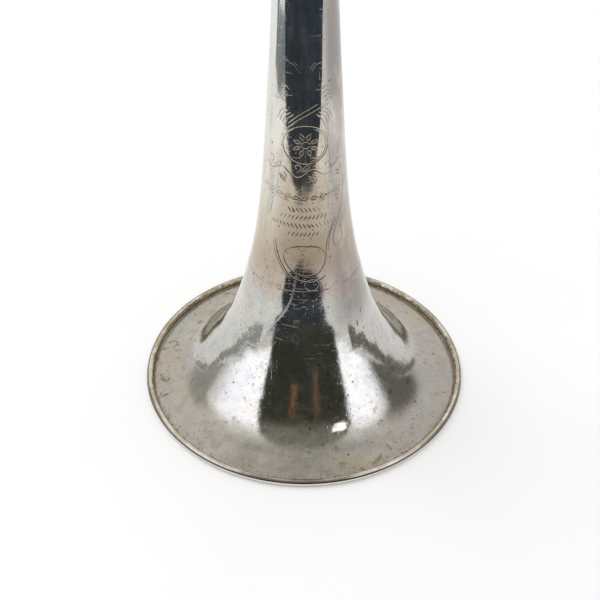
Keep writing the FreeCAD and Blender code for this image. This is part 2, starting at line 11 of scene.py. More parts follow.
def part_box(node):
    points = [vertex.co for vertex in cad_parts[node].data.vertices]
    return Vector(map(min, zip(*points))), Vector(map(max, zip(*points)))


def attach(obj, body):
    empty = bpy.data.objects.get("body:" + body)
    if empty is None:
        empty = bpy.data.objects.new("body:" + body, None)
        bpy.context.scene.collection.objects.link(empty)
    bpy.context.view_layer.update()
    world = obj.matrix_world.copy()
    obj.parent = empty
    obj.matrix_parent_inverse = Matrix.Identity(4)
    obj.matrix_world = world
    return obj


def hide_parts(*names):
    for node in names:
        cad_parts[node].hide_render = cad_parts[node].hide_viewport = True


# Looks for the trombone bell section: smooth engraved bell, worn rim wire, metals, floor, studio and camera.
# Metres, +Z up. The bell's axis is the Z axis, and its engraved front faces -Y.

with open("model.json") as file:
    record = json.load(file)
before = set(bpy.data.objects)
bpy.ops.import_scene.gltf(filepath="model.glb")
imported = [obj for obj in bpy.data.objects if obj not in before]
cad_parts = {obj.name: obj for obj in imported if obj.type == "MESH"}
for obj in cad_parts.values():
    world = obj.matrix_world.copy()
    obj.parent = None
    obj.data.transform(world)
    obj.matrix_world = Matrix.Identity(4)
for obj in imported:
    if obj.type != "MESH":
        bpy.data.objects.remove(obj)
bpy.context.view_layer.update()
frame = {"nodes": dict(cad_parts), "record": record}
MM = 0.001


def linked(name, data):
    """A new object in the scene."""
    item = bpy.data.objects.new(name, data)
    bpy.context.scene.collection.objects.link(item)
    return item


def finished(name, mesh):
    """The mesh under this name, ready for an object."""
    data = bpy.data.meshes.new(name)
    mesh.to_mesh(data)
    mesh.free()
    return data


def on_ring(radius, angle, height):
    """A point, or an array of them, round the bell's axis at an angle from the front line."""
    return np.stack([radius * np.sin(angle), -radius * np.cos(angle), height], axis=-1)


def join_rings(mesh, rings):
    """Faces between each ring of vertices and the next."""
    for low, high in zip(rings, rings[1:]):
        for i in range(len(low)):
            j = (i + 1) % len(low)
            mesh.faces.new((low[j], low[i], high[i], high[j]))


def tree_of(points):
    """The points, ready for finding the nearest one."""
    tree = KDTree(len(points))
    for index, point in enumerate(points):
        tree.insert(point, index)
    tree.balance()
    return tree


# ---- Sizes from the frame

FLARE_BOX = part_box("bell_flare")
STEM_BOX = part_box("bell_stem")
WIRE_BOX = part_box("rim_wire")
SEAM_HEIGHT = FLARE_BOX[1].z
SEAM_RADIUS = STEM_BOX[1].x
STEM_TOP = STEM_BOX[1].z
WIRE_RADIUS = (WIRE_BOX[1].z - WIRE_BOX[0].z) / 2
WIRE_HEIGHT = (WIRE_BOX[1].z + WIRE_BOX[0].z) / 2
WIRE_CENTRE = WIRE_BOX[1].x - WIRE_RADIUS
SHEET = WIRE_BOX[0].z
RIM_LAND = 1.0 * MM
STEM_TOP_RADIUS = 9.0 * MM
CONE_START = (17.6 * MM, 250.0 * MM)
CURL_END = math.radians(35)

# The bell's outside between rim and seam, then between seam and cone, as (radius, height) in millimetres.
FLARE_POINTS = [(97.0, 0.95), (80.7, 5.0), (71.5, 10.3), (62.8, 19.8), (49.9, 40.0), (40.6, 62.0)]
STEM_POINTS = [(26.7, 125.0), (22.3, 175.0)]

# ---- The bell's profile

CURVE_STEPS = 200  # points between two given points of the profile


def cubic_through(points, first, last):
    """A smooth curve through points, with given end directions, as closely spaced points."""
    points = np.array(points, float)
    first = np.array(first, float)
    last = np.array(last, float)
    steps = np.hypot(*np.diff(points, axis=0).T)
    count = len(points)
    system = np.zeros((count, count))
    right = np.zeros((count, 2))
    system[0, 0] = system[-1, -1] = 1
    right[0] = first
    right[-1] = last
    for i in range(1, count - 1):
        before, after = steps[i - 1], steps[i]
        system[i, i - 1 : i + 2] = 1 / before, 2 / before + 2 / after, 1 / after
        right[i] = 3 * ((points[i] - points[i - 1]) / before**2 + (points[i + 1] - points[i]) / after**2)
    slopes = np.linalg.solve(system, right)
    table = []
    for i in range(count - 1):
        t = np.linspace(0, 1, CURVE_STEPS, endpoint=False)[:, None]
        table.append(
            (2 * t**3 - 3 * t**2 + 1) * points[i]
            + (t**3 - 2 * t**2 + t) * steps[i] * slopes[i]
            + (3 * t**2 - 2 * t**3) * points[i + 1]
            + (t**3 - t**2) * steps[i] * slopes[i + 1]
        )
    return np.concatenate([*table, points[-1:]])


class Profile:
    """The bell's outside from the rim's land to the top of the stem, by distance along it."""

    def __init__(self):
        start = (WIRE_CENTRE - RIM_LAND, SHEET)
        inner = [(r * MM, z * MM) for r, z in FLARE_POINTS]
        upper = [(r * MM, z * MM) for r, z in STEM_POINTS]
        seam = (SEAM_RADIUS, SEAM_HEIGHT)
        top = (STEM_TOP_RADIUS, STEM_TOP)
        cone = np.subtract(top, CONE_START)
        cone = cone / np.linalg.norm(cone)
        curved = cubic_through([start, *inner, seam, *upper, CONE_START], (-1, 0), cone)
        straight = np.linspace(CONE_START, top, CURVE_STEPS)[1:]
        self.points = np.concatenate([curved, straight])
        steps = np.hypot(*np.diff(self.points, axis=0).T)
        self.along = np.concatenate([[0], np.cumsum(steps)])
        tangent = np.gradient(self.points, self.along, axis=0)
        tangent /= np.linalg.norm(tangent, axis=1)[:, None]
        self.normals = np.stack([tangent[:, 1], -tangent[:, 0]], axis=1)
        self.seam = np.interp(SEAM_HEIGHT, self.points[:, 1], self.along)
        self.length = self.along[-1]

    def at(self, along):
        """Points and outward normals, as (radius, height), at distances along the profile."""
        both = np.column_stack([self.points, self.normals])
        values = np.stack([np.interp(along, self.along, column) for column in both.T], axis=-1)
        return values[..., :2], values[..., 2:]

    def radius_at(self, height):
        return np.interp(height, self.points[:, 1], self.points[:, 0])

    def along_at(self, height):
        return np.interp(height, self.points[:, 1], self.along)


PROFILE = Profile()

# ---- Engraving
#
# Each stroke is a line of points (s, z) in millimetres: s is the distance round the bell from its front
# line, positive towards +X, and z is the height. The ornament is generic: a rosette, leaves, scrolls and
# rows of hatching.

STROKE_HALF_WIDTH = 0.37
STROKE_DEPTH = 0.09
strokes = []


def stroke(points, width=1.0, depth=1.0):
    strokes.append((np.array(points, float), width, depth))


def flowing(points, steps=14):
    """A smooth line through points (Catmull-Rom)."""
    points = np.array(points, float)
    padded = np.concatenate([[2 * points[0] - points[1]], points, [2 * points[-1] - points[-2]]])
    t = np.linspace(0, 1, steps, endpoint=False)[:, None]
    line = []
    for a, b, c, d in zip(padded, padded[1:], padded[2:], padded[3:]):
        line.append(0.5 * (2 * b + (c - a) * t + (2 * a - 5 * b + 4 * c - d) * t**2
                           + (3 * b - a - 3 * c + d) * t**3))
    return np.concatenate([*line, points[-1:]])


def line_of(across, up):
    """A line's points from their distances across and their heights."""
    return np.stack([across, up], axis=1)


def curve(points, width=1.0, depth=1.0):
    stroke(flowing(points), width, depth)


def oval(centre, across, up, start=0, end=360):
    angles = np.radians(np.linspace(start, end, 60))
    return line_of(centre[0] + across * np.cos(angles), centre[1] + up * np.sin(angles))


def scroll(centre, radius, turns, start, inward=0.25):
    """A spiral that runs in towards its centre; a negative number of turns winds it the other way."""
    share = np.linspace(0, 1, 48)
    angles = math.radians(start) + share * turns * 2 * math.pi
    reach = radius * (1 - (1 - inward) * share)
    return line_of(centre[0] + reach * np.cos(angles), centre[1] + reach * np.sin(angles))


def leaf(base, tip, bulge):
    """A pointed leaf: two bowed sides from base to tip, and a short vein."""
    base, tip = np.array(base, float), np.array(tip, float)
    side = np.array([tip[1] - base[1], base[0] - tip[0]]) * bulge
    middle = (base + tip) / 2
    curve([base, middle + side, tip])
    curve([base, middle - side, tip])
    stroke([base + (tip - base) * 0.15, base + (tip - base) * 0.6], width=0.7, depth=0.7)


def engrave_crown():
    """A faint fan and hooked strokes above the medallion, and two lines that rise across the front."""
    for lean in np.linspace(-1, 1, 7):
        curve([(3 * lean, 222), (5.5 * lean, 226.5), (9 * lean, 229.5 - 1.5 * abs(lean))],
              width=0.7, depth=0.45)
    for side in (-1, 1):
        for step in range(4):
            height = 213 - 2.4 * step
            reach = 8.5 + 0.8 * step
            curve([(side * reach, height), (side * (reach + 2.5), height + 1.6),
                   (side * (reach + 5), height + 0.4)], width=0.8, depth=0.8)
        for step in range(4):
            foot = 11 + 1.6 * step
            curve([(side * foot, 192 + step), (side * (foot - 1.8), 196.5 + step),
                   (side * (foot - 5.2), 199.5 + step)], width=0.9)
    curve([(-10, 190.5), (-5, 195), (1, 199), (8, 202.5), (13, 204)])
    curve([(-9.5, 193.4), (-4.5, 198), (1.5, 202), (7, 205)], width=0.8)


def engrave_medallion():
    """A rosette of eight leaves in an oval frame."""
    centre = (0.3, 181.5)
    stroke(oval(centre, 12.6, 11.2))
    stroke(oval(centre, 11.4, 10.0, -75, 65), width=0.8, depth=0.8)
    stroke(oval(centre, 2.1, 1.9))
    for petal in range(8):
        angle = math.radians(45 * petal + 22.5)
        direction = np.array([math.cos(angle), math.sin(angle)])
        leaf(np.array(centre) + 2.4 * direction, np.array(centre) + 7.4 * direction, 0.2)


def engrave_vine():
    """A waving vine with curled tendrils, below the medallion."""
    reach, middle, sag = 25, 164.2, 0.006
    across = np.linspace(-reach, reach, 90)
    wave = middle + 2.4 * np.sin(across / reach * 3 * math.pi) + sag * across**2
    stroke(line_of(across, wave), width=1.1)
    for step, place in enumerate((-20.8, -12.5, -4.2, 4.2, 12.5, 20.8)):
        up = 1 if step % 2 == 0 else -1
        height = middle + sag * place**2
        stroke(scroll((place, height + 3.6 * up), 2.7, 0.9 * up, -90 * up), width=0.9)
    for place in (-16.7, 0.0, 16.7):
        leaf((place - 1.5, 165.2), (place + 3.4, 170.2), 0.17)
        leaf((place + 2.0, 163.0), (place + 6.0, 158.6), 0.17)


def engrave_band():
    """A curved garland of small leaves, with dots between them, over two fine lines."""
    for place in np.arange(-25, 26, 5.0):
        height = 149.6 + 0.004 * place**2
        leaf((place - 1.9, height - 0.9), (place + 1.9, height + 0.9), 0.26)
        stroke(oval((place + 2.5 * (1 if place < 25 else -1), height), 0.3, 0.3), width=0.8)
    for side in (-1, 1):
        edge = np.linspace(9, 24, 24)
        stroke(line_of(side * edge, 147.0 + 0.004 * edge**2), width=0.8)


def engrave_hatching():
    """Four rows of short slanted cuts, which lean the other way in every second row."""
    lean = 0.8
    for height, reach in ((142.3, 8.5), (137.4, 13.5), (132.2, 18.5), (126.8, 9.0)):
        lean = -lean
        for place in np.arange(-reach, reach + 0.01, 2.3):
            stroke([(place - lean, height - 1.3), (place + lean, height + 1.3)], width=1.15, depth=1.1)


def engrave_side_scrolls():
    """The long hooked scrolls on the right."""
    curve([(25, 158), (25.5, 150), (24, 142), (21.5, 134), (18.5, 127), (17.2, 120.5),
           (19.2, 115.8), (22.6, 116.6), (23.8, 122), (22.4, 128)])
    curve([(20, 133.5), (16.5, 130), (14, 124), (12.6, 117), (12.8, 111.5), (14.6, 109.6),
           (16, 111.2)])
    curve([(18.6, 131.5), (15.6, 126.5), (14.2, 120), (13.9, 114.5)], width=0.8, depth=0.7)


def engrave_lower_shield():
    """The flat-topped frame above the ring, and the long double line that runs down to the flare."""
    curve([(-7.5, 118), (-4, 119), (0.5, 119.2), (5.5, 118.8), (9.6, 116.8), (11.8, 112.5),
           (11.8, 107.5), (9.5, 103.5)])
    curve([(-7.5, 118), (-11, 115.5), (-12.2, 111), (-9.8, 106), (-5.5, 102), (0, 100.2),
           (6, 101), (10, 103.4)])
    curve([(-17.5, 121), (-16.4, 113.5), (-12.8, 105.6), (-7.6, 99.4), (-1, 96.9), (5, 96.2),
           (9.4, 97.8), (12.6, 99.6)], width=1.15)
    curve([(-19, 119), (-17.6, 112), (-14, 104.6), (-9, 98.8)], width=0.8, depth=0.7)
    stroke(oval((4.2, 94.2), 4.1, 3.4), width=0.9, depth=0.8)
    curve([(-4.5, 103), (-5.2, 95), (-7.2, 86), (-11, 77.5), (-17, 69.5), (-25, 62.5)],
          width=0.8, depth=0.75)
    curve([(-5.6, 99), (-6.6, 91), (-9, 83), (-13.2, 75), (-19, 67.6)], width=0.7, depth=0.6)


def engrave_ring():
    """The turned ring above the seam, broken in places, and a few short ribs over it on the left."""
    ring_height = 90.4
    for start, end in ((-170, -66), (-63, 14), (18, 172)):
        angles = np.radians(np.linspace(start, end, 160))
        around = angles * PROFILE.radius_at((ring_height + 0.1) * MM) / MM
        stroke(line_of(around, ring_height + 0.12 * np.sin(3 * angles)), width=0.85, depth=0.9)
    for step in range(5):
        foot = -14.0 - 2.2 * step
        stroke([(foot, 91.2), (foot - 1.2, 92.6 + 0.3 * (step % 2))], width=0.7, depth=0.6)


engrave_crown()
engrave_medallion()
engrave_vine()
engrave_band()
engrave_hatching()
engrave_side_scrolls()
engrave_lower_shield()
engrave_ring()

SAMPLE_STEP = 0.12  # millimetres between the samples of a stroke


def sampled_strokes():
    """Every stroke as closely spaced points on the bell, with its half width and depth, in metres."""
    places, widths, depths = [], [], []
    for points, width, depth in strokes:
        steps = np.hypot(*np.diff(points, axis=0).T)
        along = np.concatenate([[0], np.cumsum(steps)])
        count = max(2, int(along[-1] / SAMPLE_STEP))
        dense = np.stack([np.interp(np.linspace(0, along[-1], count), along, c) for c in points.T], axis=1)
        share = np.linspace(0, 1, count)
        ends = np.clip(np.minimum(share, 1 - share) * along[-1] / 1.2, 0.35, 1)  # cuts start and end thin
        places.append(dense)
        widths.append(width * STROKE_HALF_WIDTH * ends**0.5)
        depths.append(depth * STROKE_DEPTH * ends)
    places = np.concatenate(places) * MM
    return places, np.concatenate(widths) * MM, np.concatenate(depths) * MM


stroke_places, stroke_widths, stroke_depths = sampled_strokes()


def on_bell(angle, along):
    """Places and normals of the plain bell, at angles from the front line and distances along the profile."""
    points, normals = PROFILE.at(along)
    return on_ring(points[:, 0], angle, points[:, 1]), on_ring(normals[:, 0], angle, normals[:, 1])


def stroke_tree():
    """The strokes' samples on the plain bell."""
    heights = stroke_places[:, 1]
    angles = stroke_places[:, 0] / PROFILE.radius_at(heights)
    points, _ = on_bell(angles, PROFILE.along_at(heights))
    return tree_of(points)


STROKES = stroke_tree()

# ---- Surface field of the bell

WAVE_HEIGHT = 0.013 * MM
WAVE_COUNT = 26
WAVE_DROP = 1.2 * WAVE_HEIGHT  # the surface lies this far inside the true form
STEM_WAVE_SHARE = 0.2
WAVE_FADE = 30 * MM  # the waves die down to that share over this length below the seam
EDGE_FADE = 4 * MM  # the dents fade out over this width, this far from the wire
# Slight swellings left by the spinning: lower end, crest and upper end in height, and size, in millimetres.
SWELLINGS = [(12, 80, 104, 0.22), (98, 137, 176, 0.18)]


def wave_terms():
    """Gentle dents as a sum of waves: turns round the bell, waves along it, phase and height of each."""
    chance = np.random.default_rng(7)
    terms = []
    for _ in range(WAVE_COUNT):
        turns = int(chance.integers(2, 26))
        waves = chance.uniform(-420, 420)
        size = math.hypot(turns / 0.03, waves)
        terms.append((turns, waves, chance.uniform(0, 2 * math.pi), WAVE_HEIGHT * min(1.0, 260 / size)))
    return terms


WAVES = wave_terms()


def waviness(angle, along):
    """Height of the surface over the true form, and its slope round and along the bell."""
    height = np.zeros_like(along)
    by_angle = np.zeros_like(along)
    by_along = np.zeros_like(along)
    for turns, waves, phase, size in WAVES:
        inner = turns * angle + waves * along + phase
        height += size * np.sin(inner)
        by_angle += size * turns * np.cos(inner)
        by_along += size * waves * np.cos(inner)
    seam = PROFILE.seam
    share = np.interp(along, [seam - WAVE_FADE, seam], [1, STEM_WAVE_SHARE])
    height, by_angle, by_along = height * share, by_angle * share, by_along * share
    for low, crest, high, size in SWELLINGS:
        crest_along = PROFILE.along_at(crest * MM)
        for end in (low, high):
            length = crest_along - PROFILE.along_at(end * MM)
            turn = math.pi / length
            away = (crest_along - along) * np.sign(length)
            place = np.clip(away, 0, abs(length)) * np.sign(length)
            height += size * MM * (1 + np.cos(turn * place)) / 2 * (away > 0)
            by_along += size * MM * turn * np.sin(turn * place) / 2
    return height, by_angle, by_along


def grooves(places):
    """Depth of the engraving at each place, its share of the full depth, and the tilt it gives the normal."""
    depth = np.zeros(len(places))
    share = np.zeros(len(places))
    tilt = np.zeros((len(places), 3))
    for index, place in enumerate(places):
        found, nearest, distance = STROKES.find(place)
        width = stroke_widths[nearest]
        if distance >= width:
            continue
        ratio = distance / width
        rise = 1 - ratio * ratio
        depth[index] = stroke_depths[nearest] * rise * rise
        share[index] = rise * rise
        if distance > 1e-9:  # the very middle of a cut has no tilt
            slope = -4 * stroke_depths[nearest] * rise * ratio / width
            tilt[index] = slope * np.array(Vector(place) - found) / distance
    return depth, share, tilt


def bell_surface(angle, along):
    """The finished outside of the bell: places, normals and the share of engraving."""
    plain, facing = on_bell(angle, along)
    points, normals = PROFILE.at(along)
    radius = points[:, 0]
    fade = np.clip((WIRE_CENTRE - EDGE_FADE - radius) / EDGE_FADE, 0, 1)
    fade = np.where(along > PROFILE.seam, 1, fade)
    height, by_angle, by_along = waviness(angle, along)
    depth, share, tilt = grooves(plain)
    sideways = on_ring(1, angle + math.pi / 2, np.zeros_like(angle))
    upward = on_ring(-normals[:, 1], angle, normals[:, 0])
    normal = facing - (fade * by_angle / radius)[:, None] * sideways - (fade * by_along)[:, None] * upward
    normal += tilt
    normal /= np.linalg.norm(normal, axis=1)[:, None]
    lift = fade * height - depth - fade * WAVE_DROP
    return plain + facing * lift[:, None], normal, share


# ---- Bell meshes

REFINE_WITHIN = (2.0 * MM, 1.15 * MM, 0.7 * MM)  # from the engraving, for each splitting of the faces
FINE_EDGE = 4 * MM  # rows lie closer together this near the rim
CURL_LIP = math.radians(7)  # the sheet's rounded lip, beyond the curl's end
SAME_PLACE = 0.0001 * MM
SEAM_WIDTH = 1e-5  # radians each side of the line at the back where the grid's two edges meet


def flat_grid(columns, stations):
    """A grid whose vertices hold (angle, distance along the profile, 0)."""
    mesh = bmesh.new()
    angles = np.linspace(-math.pi, math.pi, columns + 1)
    rows = [[mesh.verts.new((a, u, 0)) for a in angles] for u in stations]
    for low, high in zip(rows, rows[1:]):
        for i in range(columns):
            mesh.faces.new((low[i], low[i + 1], high[i + 1], high[i]))
    return mesh


def refine_near_strokes(mesh):
    """Splits the faces near the engraving, finer and finer towards it."""
    for reach in REFINE_WITHIN:
        centres = np.array([face.calc_center_median() for face in mesh.faces])
        places, _ = on_bell(centres[:, 0], centres[:, 1])
        near = [face for face, place in zip(mesh.faces, places) if STROKES.find(place)[2] < reach]
        edges = {edge for face in near for edge in face.edges if not edge.is_boundary}
        bmesh.ops.subdivide_edges(mesh, edges=list(edges), cuts=1, use_grid_fill=True)


def bell_piece(name, columns, stations, rest):
    """A closed sheet-metal piece: the engraved outside over the stations, and a ring of plain surface
    through the (radius, height) points of rest, which runs from the outside's first edge to its last."""
    mesh = flat_grid(columns, stations)
    refine_near_strokes(mesh)
    bmesh.ops.triangulate(mesh, faces=[face for face in mesh.faces if len(face.verts) > 4])
    flat = np.array([vertex.co for vertex in mesh.verts])
    places, normals, engraved = bell_surface(flat[:, 0], flat[:, 1])
    for vertex, place in zip(mesh.verts, places):
        vertex.co = place
    meeting = [v for v, (a, _, _) in zip(mesh.verts, flat) if abs(a) > math.pi - SEAM_WIDTH]
    bmesh.ops.remove_doubles(mesh, verts=meeting, dist=SAME_PLACE)
    mesh.verts.ensure_lookup_table()
    outside_faces = len(mesh.faces)

    def border(low):
        wanted = [v for v in mesh.verts if v.is_boundary]
        middle = (places[:, 2].min() + places[:, 2].max()) / 2
        chosen = [v for v in wanted if (v.co.z < middle) == low]
        return sorted(chosen, key=lambda v: math.atan2(v.co.x, -v.co.y))

    first, last = border(True), border(False)
    angles = [math.atan2(v.co.x, -v.co.y) for v in first]
    rings = [first]
    for radius, height in rest:
        rings.append([mesh.verts.new(on_ring(radius, a, height)) for a in angles])
    rings.append(last)
    join_rings(mesh, rings)
    data = finished(name, mesh)
    data.shade_smooth()

    lookup = tree_of(places)
    share = np.zeros(len(data.vertices), np.float32)
    given = np.zeros((len(data.vertices), 3))
    for vertex in data.vertices:
        _, index, distance = lookup.find(vertex.co)
        if distance < SAME_PLACE:
            share[vertex.index] = engraved[index]
            given[vertex.index] = normals[index]
    data.attributes.new("engraved", "FLOAT", "POINT").data.foreach_set("value", share)
    corners = np.zeros((len(data.loops), 3))
    corner_vertices = np.zeros(len(data.loops), int)
    data.loops.foreach_get("vertex_index", corner_vertices)
    end = data.polygons[outside_faces - 1].loop_start + data.polygons[outside_faces - 1].loop_total
    corners[:end] = given[corner_vertices[:end]]
    data.normals_split_custom_set(corners.tolist())
    return linked(name, data)


def inner_profile(start, end, count):
    """The inside of the sheet between two distances along the profile, as (radius, height)."""
    points, normals = PROFILE.at(np.linspace(start, end, count))
    return [tuple(point) for point in points - SHEET * normals]


def round_wire(reach, angle):
    """A point round the wire's own middle line, as (radius, height)."""
    return WIRE_CENTRE + reach * math.cos(angle), WIRE_HEIGHT + reach * math.sin(angle)


def rim_curl():
    """The sheet's way round the wire: under it, up its outside, over the edge, and back to the land."""
    arc = np.linspace(-math.pi / 2, CURL_END, 14)
    inner = [round_wire(WIRE_RADIUS, a) for a in arc]
    outer = [round_wire(WIRE_RADIUS + SHEET, a) for a in arc[::-1]]
    return [*inner, round_wire(WIRE_RADIUS + SHEET / 2, CURL_END + CURL_LIP), *outer]


def make_bell():
    """The flare with its rolled edge, and the stem."""
    seam, length = PROFILE.seam, PROFILE.length
    stations = np.concatenate([np.linspace(0, FINE_EDGE, 6)[:-1], np.linspace(FINE_EDGE, seam, 78)])
    flare = bell_piece("engraved_flare", 288, stations, [*rim_curl(), *inner_profile(0, seam, 44)])
    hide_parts("bell_flare")
    stem = bell_piece("engraved_stem", 144, np.linspace(seam, length, 190), inner_profile(seam, length, 60))
    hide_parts("bell_stem")
    for piece in (flare, stem):
        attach(piece, "bell_section")
    return flare, stem


def make_rim_wire():
    """The wire that shows above the sheet's edge: slightly uneven, with grains of dirt along its seams."""
    chance = np.random.default_rng(11)
    around, section = 720, 20
    roughness = 0.05 * MM
    mesh = bmesh.new()
    phases = chance.uniform(0, 2 * math.pi, 12)
    rings = []
    for i in range(around):
        a = 2 * math.pi * i / around
        uneven = sum(math.sin((5 + 9 * k) * a + phase) for k, phase in enumerate(phases)) / len(phases)
        ring = []
        for j in range(section):
            b = 2 * math.pi * j / section
            grain = roughness * chance.uniform(-1, 0) if math.sin(b) > 0 else 0
            reach = WIRE_RADIUS - roughness + roughness * uneven + grain
            radius, height = round_wire(reach, b)
            ring.append(mesh.verts.new(on_ring(radius, a, height)))
        rings.append(ring)
    join_rings(mesh, [*rings, rings[0]])
    bmesh.ops.recalc_face_normals(mesh, faces=mesh.faces)
    data = finished("worn_rim_wire", mesh)
    data.shade_smooth()
    piece = linked("worn_rim_wire", data)
    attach(piece, "bell_section")
    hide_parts("rim_wire")
    return piece


# ---- Material building blocks


class Nodes:
    """A material's node tree, with short calls for the nodes that the metals use."""

    def __init__(self, name):
        self.material = bpy.data.materials.new(name)
        self.material.use_nodes = True
        self.tree = self.material.node_tree
        self.tree.nodes.clear()
        self.output = self.tree.nodes.new("ShaderNodeOutputMaterial")
        self.place = self.tree.nodes.new("ShaderNodeTexCoord").outputs["Object"]

    def put(self, socket, value):
        if isinstance(value, bpy.types.NodeSocket):
            self.tree.links.new(value, socket)
        else:
            socket.default_value = value

    def node(self, kind, **inputs):
        """A new node with these inputs set or linked; a name's underscore stands for a space."""
        node = self.tree.nodes.new("ShaderNode" + kind)
        for name, value in inputs.items():
            self.put(node.inputs[name.replace("_", " ")], value)
        return node

    def math(self, operation, a, b=0.0, c=0.0, clamp=False):
        node = self.node("Math")
        node.operation = operation
        node.use_clamp = clamp
        for socket, value in zip(node.inputs, (a, b, c)):
            self.put(socket, value)
        return node.outputs[0]

    def times(self, *values):
        product = values[0]
        for value in values[1:]:
            product = self.math("MULTIPLY", product, value)
        return product

    def plus(self, a, b):
        return self.math("ADD", a, b)

    def most(self, a, b):
        return self.math("MAXIMUM", a, b)

    def scaled(self, value, low, high):
        """A 0 to 1 value as one between low and high."""
        return self.math("MULTIPLY_ADD", value, high - low, low)

    def between(self, value, low, high):
        """0 at low, 1 at high, smooth between."""
        node = self.node("MapRange", Value=value, From_Min=low, From_Max=high)
        node.interpolation_type = "SMOOTHSTEP"
        return node.outputs["Result"]

    def noise(self, scale, detail=4.0, rough=0.55, stretch=None, warp=0.0):
        place = self.place
        if stretch:
            place = self.node("Mapping", Vector=place, Scale=stretch).outputs[0]
        node = self.node("TexNoise", Vector=place, Scale=scale, Detail=detail, Roughness=rough,
                         Distortion=warp)
        return node.outputs["Fac"]

    def spots(self, scale, radius):
        """Small round spots, 1 inside and 0 outside, one at each of some scattered points."""
        node = self.node("TexVoronoi", Vector=self.place, Scale=scale)
        return self.between(node.outputs["Distance"], radius, radius * 0.45)

    def reach(self, x=0.0, y=0.0):
        """Distance from an upright line at (x, y), by itself the bell's axis."""
        across = self.math("POWER", self.math("SUBTRACT", self.axis("X"), x), 2.0)
        along = self.math("POWER", self.math("SUBTRACT", self.axis("Y"), y), 2.0)
        return self.math("SQRT", self.plus(across, along))

    def ramp(self, value, stops):
        node = self.node("ValToRGB", Fac=value)
        elements = node.color_ramp.elements
        while len(elements) < len(stops):
            elements.new(0.5)
        for element, (place, colour) in zip(elements, stops):
            element.position = place
            element.color = (*colour, 1)
        return node.outputs["Color"]

    def mix(self, share, a, b):
        """The colour a with this share of the colour b over it."""
        node = self.node("Mix")
        node.data_type = "RGBA"
        for socket, value in zip((node.inputs["Factor"], node.inputs[6], node.inputs[7]), (share, a, b)):
            self.put(socket, (*value, 1) if isinstance(value, tuple) else value)
        return node.outputs[2]

    def layer(self, base, share, most, colour):
        """The colour over the base, where the share is, and at most this much of it."""
        return self.mix(self.scaled(share, 0.0, most), base, colour)

    def mix_values(self, share, a, b):
        return self.plus(self.times(share, self.math("SUBTRACT", b, a)), a)

    def axis(self, name):
        return self.node("SeparateXYZ", Vector=self.place).outputs[name]

    def attribute(self, name):
        node = self.node("Attribute")
        node.attribute_name = name
        return node.outputs["Fac"]

    def bump(self, height, strength, distance, under=None):
        node = self.node("Bump", Height=height, Strength=strength, Distance=distance)
        if under:
            self.put(node.inputs["Normal"], under)
        return node.outputs["Normal"]

    def metal(self, colour, roughness, normal=None, metallic=1.0, coat=0.0):
        shader = self.node("BsdfPrincipled", Base_Color=colour, Roughness=roughness, Metallic=metallic,
                           Coat_Weight=coat, Coat_Roughness=0.08)
        if normal:
            self.put(shader.inputs["Normal"], normal)
        self.tree.links.new(shader.outputs[0], self.output.inputs["Surface"])
        return self.material

    def crumb_colour(self):
        """Old polish and dirt: dark brown crumbs with dull tan ones among them."""
        tan = self.between(self.noise(760, 2, 0.6), 0.44, 0.57)
        return self.mix(tan, (0.070, 0.050, 0.028), (0.47, 0.40, 0.28))

    def hairlines(self):
        """Fine random scratches in several directions, from stretched noise."""
        lines = None
        for stretch in ((1, 6, 30), (30, 5, 1.5), (6, 30, 3), (18, 18, 1)):
            layer = self.between(self.noise(42, 2, 0.5, stretch), 0.66, 0.74)
            lines = layer if lines is None else self.most(lines, layer)
        return lines


RAMP_TOP = 260.0  # millimetres


def by_height(n, level, stops):
    """A colour that changes with height, from stops given as (height in millimetres, colour)."""
    return n.ramp(level, [(height / RAMP_TOP, colour) for height, colour in stops])


SIDE_TONES = [
    (0, (0.57, 0.56, 0.515)),
    (76, (0.585, 0.58, 0.55)),
    (90, (0.53, 0.46, 0.375)),
    (105, (0.49, 0.41, 0.315)),
    (123, (0.61, 0.54, 0.44)),
    (149, (0.71, 0.68, 0.60)),
    (179, (0.76, 0.74, 0.67)),
    (208, (0.78, 0.76, 0.71)),
    (260, (0.70, 0.71, 0.72)),
]
FRONT_TONES = [
    (0, (0.66, 0.65, 0.61)),
    (80, (0.58, 0.58, 0.54)),
    (97, (0.45, 0.40, 0.35)),
    (110, (0.30, 0.235, 0.165)),
    (124, (0.37, 0.29, 0.215)),
    (149, (0.50, 0.42, 0.32)),
    (172, (0.62, 0.55, 0.45)),
    (260, (0.66, 0.66, 0.66)),
]


LARGE_STAIN = (0.0316, -0.0263)  # x and y of one larger rust stain, at the foot of the neck


class SilverNodes(Nodes):
    """The silver's node tree, with the places and patterns that several of its layers share."""

    def __init__(self):
        super().__init__("tarnished_silver")
        self.x, self.y, self.z = (self.axis(name) for name in "XYZ")
        self.radius = self.reach()
        self.cloud = self.noise(24, 6, 0.6, warp=0.6)
        self.fine = self.noise(170, 5, 0.65)
        self.streak = self.noise(70, 4, 0.6, stretch=(1.0, 1.0, 0.12))
        low_end, high_end = SEAM_HEIGHT - 8 * MM, SEAM_HEIGHT + 17 * MM
        self.high = self.between(self.z, low_end, high_end)
        self.low = self.between(self.z, high_end, low_end)
        self.in_front = self.between(self.y, 0.02, -0.05)
        self.outer_curl = self.between(self.radius, WIRE_CENTRE + 1.1 * MM, WIRE_CENTRE + 1.6 * MM)


